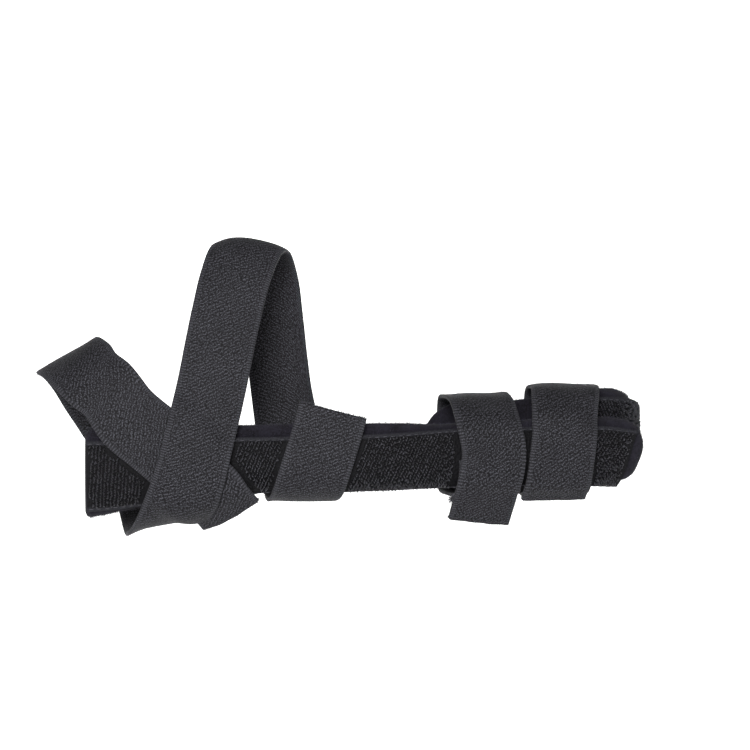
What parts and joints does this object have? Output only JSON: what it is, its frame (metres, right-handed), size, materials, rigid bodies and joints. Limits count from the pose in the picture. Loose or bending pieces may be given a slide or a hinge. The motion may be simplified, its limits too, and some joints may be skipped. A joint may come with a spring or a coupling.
{
  "type": "finger splint",
  "caption": "Little-finger splint of padded hook-taped bars, held by a long strap wound round wrist and thumb web and by two short finger straps, in its worn form.",
  "frame": {"origin": "inside the finger channel, at the finger's knuckle", "axes": "+X from the wrist to the fingertip, -Y out of the back of the wearer's right hand, +Z from the little-finger edge to the thumb edge"},
  "size_m": [0.1833, 0.0538, 0.0894],
  "materials": {
    "plush": "dark navy brushed plush over foam",
    "hook_tape": "black nylon hook tape, rows of fine hooks",
    "webbing": "charcoal woven nylon loop tape with ribbed selvedge"
  },
  "bodies": {
    "root": {"long_bar": "plush", "long_bar_hook_tape": "hook_tape", "finger_bar": "plush", "finger_bar_hook_tape": "hook_tape", "wrist_thumb_strap": "webbing", "finger_strap_base": "webbing", "finger_strap_tip": "webbing"}
  },
  "joints": []
}
